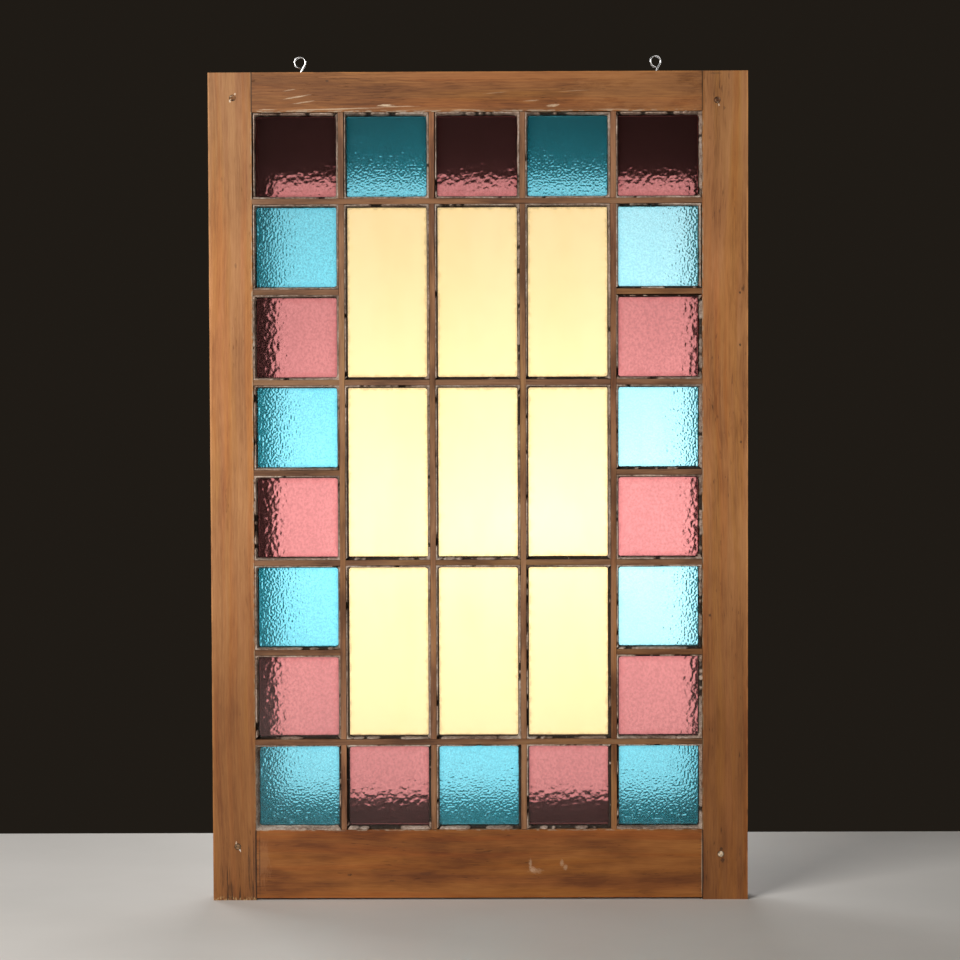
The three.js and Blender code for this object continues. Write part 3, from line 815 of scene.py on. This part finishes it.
def putty_bead(node, material, seed):
    """A loop of putty round one pane, in the rebate between the glass and the front face."""
    low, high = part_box(node)
    left, right = low.x - GLASS_PLAY, high.x + GLASS_PLAY
    bottom, top = low.z - GLASS_PLAY, high.z + GLASS_PLAY
    corners = [Vector((left, 0, bottom)), Vector((right, 0, bottom))]
    corners += [Vector((right, 0, top)), Vector((left, 0, top))]
    walls = (bottom, right, top, left)
    inward = [Vector((0, 0, 1)), Vector((-1, 0, 0)), Vector((0, 0, -1)), Vector((1, 0, 0))]
    glass_y = low.y - BEAD_LIFT
    cell = "_".join(node.split("_")[-2:])
    counts = [round((corners[i - 3] - corners[i]).length / BEAD_STEP) for i in range(4)]
    stations = [(side, step / counts[side]) for side in range(4) for step in range(counts[side])]
    stations.append(stations[0])
    bm = bmesh.new()
    bmesh.ops.create_grid(bm, x_segments=len(stations) - 1, y_segments=SECTION_POINTS, size=0.5)
    # Grime and painted shade, from 0 to 1, at each point
    grime = bm.verts.layers.float.new("grime")
    sections = []
    for side, part in stations:
        start, end = corners[side], corners[side - 3]
        wall_place = start.lerp(end, part)
        room = (bead_room(side, walls[side]), glass_y - FRONT_Y)
        loss = LOSS.get((cell, SIDES[side]), USUAL_LOSS)
        shrinkage = SHRUNK.get((cell, SIDES[side]), 0.0)
        corner = 1.2 * MM * math.exp(-min(part, 1 - part) * (end - start).length / (2.2 * MM))
        shift = Vector((seed, 0, seed * 0.37))
        sections.append(bead_section(wall_place, shift, room, loss, shrinkage, corner))
    for vert in bm.verts:
        station = round((vert.co.x + 0.5) * (len(stations) - 1))
        side, part = stations[station]
        start, end = corners[side], corners[side - 3]
        point = round((vert.co.y + 0.5) * SECTION_POINTS) % SECTION_POINTS
        out, height, darkening = sections[station][point]
        along = (end - start).normalized()
        length = (end - start).length
        near_start = math.exp(-part * length / (10 * MM))
        near_end = math.exp(-(1 - part) * length / (10 * MM))
        run = part * length + out * (near_start - near_end)
        vert.co = start + along * run + inward[side] * out
        vert.co.y = glass_y - height
        vert[grime] = darkening
    bmesh.ops.remove_doubles(bm, verts=bm.verts, dist=0.001 * MM)
    bmesh.ops.recalc_face_normals(bm, faces=bm.faces)
    return finish_piece("putty_" + cell, bm, material, (), 60)


# Pegs and screw eyes

def wooden_peg(node, material, recess, seed):
    """A peg driven below the face, with a ragged end."""
    low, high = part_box(node)
    middle = (low + high) / 2
    radius = (high.x - low.x) / 2
    bm = bmesh.new()
    bmesh.ops.create_cone(
        bm, cap_ends=True, segments=28, radius1=radius, radius2=radius, depth=high.y - low.y
    )
    for share in (0.25, 0.3, 0.4):
        caps = [face for face in bm.faces if len(face.verts) > 4]
        bmesh.ops.inset_region(bm, faces=caps, thickness=radius * share * 0.8)
    bmesh.ops.poke(bm, faces=[face for face in bm.faces if len(face.verts) > 4])
    bmesh.ops.rotate(bm, verts=bm.verts, matrix=Matrix.Rotation(math.pi / 2, 3, "X"))
    rim = bm.verts.layers.float.new("rim")
    for vert in bm.verts:
        vert[rim] = math.hypot(vert.co.x, vert.co.z) / radius
        rough = abs(noise.noise(Vector((vert.co.x, seed * MM, vert.co.z)) * 900)) * 0.3 * MM
        sunk = recess * (1.1 - 0.5 * vert[rim]) + rough
        vert.co.y += sunk if vert.co.y < 0 else -sunk
        vert.co += middle
    bmesh.ops.recalc_face_normals(bm, faces=bm.faces)
    return finish_piece(node + "_peg", bm, material, (node,), smooth_below=40)


EYE_WIRE = 2.4 * MM
EYE_DIAMETER = 14.7 * MM
EYE_NECK = 2.0 * MM
EYE_LEAN = 0.8 * MM
EYE_CLOSING = 272            # degrees at which the wire ends beside its own neck
EYE_TURN = {"screw_eye_left": 0, "screw_eye_right": 20}
RING_STEPS = 48


def wire_eye(node, material):
    """A screw eye: a straight shank in the wood, and a ring bent from the same wire."""
    low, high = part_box(node)
    turn = math.radians(EYE_TURN[node])
    radius = (EYE_DIAMETER - EYE_WIRE) / 2
    rise = high.z - EYE_DIAMETER / 2
    shank_x = low.x + (EYE_LEAN + radius) * math.cos(turn) + EYE_WIRE / 2
    to_neck = Vector((EYE_LEAN, EYE_NECK - rise))
    touch = math.atan2(to_neck.y, to_neck.x) + math.acos(radius / to_neck.length)
    closing = math.radians(EYE_CLOSING)
    path = [(0, low.z), (0, 0), (0, EYE_NECK * 0.6), (0.15 * MM, EYE_NECK)]
    for step in range(RING_STEPS + 1):
        angle = touch + (closing - touch) * step / RING_STEPS
        path.append((radius * math.cos(angle) - EYE_LEAN, rise + radius * math.sin(angle)))
    curve = bpy.data.curves.new(node + "_wire", "CURVE")
    curve.dimensions = "3D"
    curve.bevel_depth = EYE_WIRE / 2
    curve.bevel_resolution = 3
    curve.use_fill_caps = True
    spline = curve.splines.new("POLY")
    spline.points.add(len(path) - 1)
    for point, (aside, height) in zip(spline.points, path):
        point.co = (shank_x + aside * math.cos(turn), aside * math.sin(turn), height, 1)
    spline.use_smooth = True
    wire = bpy.data.objects.new(node + "_wire", curve)
    return place_piece(wire, material, (node,))


# The sash

ACROSS, UP = 0, 2            # the axis that the grain of a piece follows
FRAME_PIECES = (
    ("stile_left", UP, wood(
        "left_stile_wood", "Z", LEFT_STILE_PINE, 1.3, heart=38.0, bands=0.55, clouds=0.8, hairs=0.45,
        dusty=((WALL_LEFT, 2.0),), worn=(cad_low.x,), opening=(WALL_BOTTOM, WALL_TOP),
        end_shade=PAINTED_END_SHADE, marks=LEFT_STILE_MARKS, foot=(FLOOR_Z, 60),
    )),
    ("stile_right", UP, wood(
        "right_stile_wood", "Z", RIGHT_STILE_PINE, 4.1, heart=52.0, bands=0.4, clouds=0.9, hairs=0.5,
        dashes=1.0, dusty=((WALL_RIGHT, 1.6),), worn=(cad_high.x,),
        opening=(WALL_BOTTOM, WALL_TOP), end_shade=PAINTED_END_SHADE, marks=RIGHT_STILE_MARKS,
    )),
    ("rail_top", ACROSS, wood(
        "top_rail_wood", "X", TOP_RAIL_PINE, 7.7, heart=30.0, bands=0.25, clouds=0.9, streaks=0.7,
        hairs=0.9, rings=0.10, dashes=0.8, ring=2.6, dusty=((WALL_TOP, 3.0),),
        worn=(RAIL_TOP[1].z,), ends=(WALL_LEFT, WALL_RIGHT), marks=TOP_RAIL_MARKS,
    )),
    ("rail_bottom", ACROSS, wood(
        "bottom_rail_wood", "X", BOTTOM_RAIL_PINE, 2.9, heart=60.0, bands=0.25, clouds=1.15,
        streaks=0.30, hairs=0.25, rings=0.02, dashes=0.6, dusty=((WALL_BOTTOM, 1.6),),
        ends=(WALL_LEFT, WALL_RIGHT), marks=BOTTOM_RAIL_MARKS,
    )),
)
for number, (node, axis, material) in enumerate(FRAME_PIECES):
    wooden_piece(
        node, material, axis,
        pitch=9 * MM, ease=0.7 * MM, drift=0.25 * MM, seed=2.0 + number,
    )

upright_wood = wood("upright_bar_wood", "Z", BAR_PINE, 5.5, clouds=1.5, dashes=0.8)
cross_wood = wood("cross_bar_wood", "X", CROSS_BAR_PINE, 9.2, clouds=1.5, dashes=0.8)
for number, node in enumerate(BARS):
    standing = node.startswith("bar_upright")
    material = upright_wood if standing else cross_wood
    axis = UP if standing else ACROSS
    wooden_piece(
        node, material, axis,
        pitch=7 * MM, ease=0.45 * MM, drift=0.32 * MM, seed=10.0 + number,
    )

# The material, relief and pitch of each glass
GLASSES = {
    "purple": (
        cast_glass(
            "purple_glass", tint=(0.59, 0.230, 0.224), streak_tint=(0.54, 0.207, 0.207),
            rough=0.08, frost=0.05, frost_tint=(0.45, 0.150, 0.140),
            wrinkles=400.0, uneven=0.60, darkening=0.6,
        ),
        rippled, 0.95 * MM,
    ),
    "blue": (
        cast_glass(
            "blue_glass", tint=(0.29, 0.70, 0.81), streak_tint=(0.34, 0.74, 0.84),
            rough=0.10, frost=0.21, frost_tint=(0.006, 0.50, 0.64),
            wrinkles=560.0, uneven=0.60, darkening=0.5,
        ),
        hammered, 0.68 * MM,
    ),
    "straw": (
        cast_glass(
            "straw_glass", tint=(0.98, 0.75, 0.41), streak_tint=(0.98, 0.71, 0.36),
            rough=0.02, frost=0.03, frost_tint=(0.90, 0.70, 0.30),
            wrinkles=60.0, uneven=0.04, darkening=0.75,
        ),
        drawn, 3.0 * MM,
    ),
}
# A paler copy of the blue glass for the right-hand column: painted light, for the brighter backlight
# there that washes its colour out
BLUE_PAINTED_LIGHTER = cast_glass(
    "blue_glass_painted_lighter", tint=(0.52, 0.86, 0.95), streak_tint=(0.58, 0.89, 0.96),
    rough=0.09, frost=0.18, frost_tint=(0.020, 0.55, 0.65),
    wrinkles=560.0, uneven=0.40, darkening=0.5,
)
PANES_PAINTED_LIGHTER = ("pane_blue_r2_c5", "pane_blue_r4_c5", "pane_blue_r6_c5")
putty_finish = putty()
for number, node in enumerate(PANES):
    colour = node.split("_")[1]
    material, relief, pitch = GLASSES[colour]
    if node in PANES_PAINTED_LIGHTER:
        material = BLUE_PAINTED_LIGHTER
    glass_pane(node, material, colour + "_glass", relief, pitch, number * 1.37)
    putty_bead(node, putty_finish, 1.0 + number * 0.61)

# Colour and chipping of each peg's end
PEG_ENDS = {
    "pin_top_left": ((0.160, 0.068, 0.026), 0.8),
    "pin_top_right": ((0.115, 0.046, 0.018), 0.3),
    "pin_bottom_left": ((0.150, 0.085, 0.042), 0.9),
    "pin_bottom_right": ((0.420, 0.320, 0.220), 0.6),
}
for number, node in enumerate(PINS):
    tint, chip = PEG_ENDS[node]
    wooden_peg(node, peg_end(node + "_end", tint, chip), recess=0.5 * MM, seed=number)

wire_finish = bright_wire()
for node in EYES:
    wire_eye(node, wire_finish)


# Camera, at the photograph's place

CAMERA_PLACE = Vector((0.0176, -2.9, -0.355))
CAMERA_LEFT = math.radians(0.329)
CAMERA_DOWN = math.radians(2.112)
CAMERA_ROLL = math.radians(0.197)
SENSOR = 36.0
LENS = 95.3


def place_camera():
    camera = bpy.data.objects.new("camera", bpy.data.cameras.new("camera"))
    camera.data.sensor_width = SENSOR
    camera.data.lens = LENS
    ahead = Vector((
        -math.sin(CAMERA_LEFT) * math.cos(CAMERA_DOWN),
        math.cos(CAMERA_LEFT) * math.cos(CAMERA_DOWN),
        -math.sin(CAMERA_DOWN),
    ))
    level = ahead.to_track_quat("-Z", "Y")
    camera.rotation_mode = "QUATERNION"
    camera.rotation_quaternion = level @ Quaternion((0, 0, 1), -CAMERA_ROLL)
    camera.location = CAMERA_PLACE
    bpy.context.scene.collection.objects.link(camera)
    bpy.context.scene.camera = camera


# Light and floor

def area_light(name, place, towards, size, power, colour=(1, 1, 1)):
    data = bpy.data.lights.new(name, "AREA")
    data.shape = "RECTANGLE"
    data.size, data.size_y = size
    data.energy = power
    data.color = colour
    lamp = bpy.data.objects.new(name, data)
    lamp.location = place
    lamp.rotation_euler = (Vector(towards) - Vector(place)).to_track_quat("-Z", "Y").to_euler()
    bpy.context.scene.collection.objects.link(lamp)
    return lamp


def fading(lamp, across_peak, up_peak, half_way):
    """Lets a soft light fade from its brightest place, across and up from 0 to 1, to its edges.

    half_way is the distance in metres at which it has half its strength.
    """
    lamp.data.use_nodes = True
    nodes = Nodes(lamp.data.node_tree)
    across, up, _ = nodes.split(nodes.add("ShaderNodeTexCoord").outputs["UV"])
    aside = (across - across_peak) * (0.3 * lamp.data.size)
    above = (up - up_peak) * lamp.data.size_y
    far = (aside * aside + above * above + 0.0006) ** 0.5
    strength = half_way / (far + half_way)
    nodes.feed(nodes.tree.nodes["Emission"].inputs["Strength"], strength)


BACKLIGHT_PLACE = Vector((0.003, 0.75, -0.5025))
BACKLIGHT_SIZE = (0.60, 0.884)
BACKLIGHT_POWER = 5.95
# Place, size, power and colour of each soft light
SOFT_LIGHTS = {
    "key": ((-1.35, -1.9, 0.35), (1.2, 1.2), 61, (1.0, 0.965, 0.92)),
    "fill": ((2.3, -2.6, -0.1), (1.6, 1.6), 16, (1.0, 0.97, 0.94)),
    "back_fill": ((-1.9, 2.2, 1.2), (1.4, 1.4), 28, (1.0, 1.0, 1.0)),
}


def light_scene():
    """The light that shines through the glass, and three soft lights round the sash."""
    ahead = Vector((BACKLIGHT_PLACE.x, 0.0, BACKLIGHT_PLACE.z))
    backlight = area_light(
        "backlight", BACKLIGHT_PLACE, ahead, BACKLIGHT_SIZE, BACKLIGHT_POWER
    )
    backlight.visible_camera = False
    fading(backlight, across_peak=0.35, up_peak=0.45, half_way=0.417)
    middle = (cad_low + cad_high) / 2
    for name, (place, size, power, colour) in SOFT_LIGHTS.items():
        area_light(name, place, middle, size, power, colour)
    world = bpy.data.worlds.new("room")
    world.use_nodes = True
    world.node_tree.nodes["Background"].inputs[0].default_value = (0.014, 0.011, 0.008, 1)
    bpy.context.scene.world = world


def lay_floor():
    half_wide, front, back = 2.6, -3.4, 0.42
    bm = bmesh.new()
    bmesh.ops.create_grid(bm, x_segments=1, y_segments=1, size=1)
    for vert in bm.verts:
        depth = front if vert.co.y < 0 else back
        vert.co = Vector((vert.co.x * half_wide, depth, FLOOR_Z))
    mesh = bpy.data.meshes.new("floor")
    bm.to_mesh(mesh)
    bm.free()
    mesh.materials.append(pale_floor())
    floor = bpy.data.objects.new("floor", mesh)
    bpy.context.scene.collection.objects.link(floor)


place_camera()
light_scene()
lay_floor()
bpy.context.scene.view_settings.view_transform = "Standard"
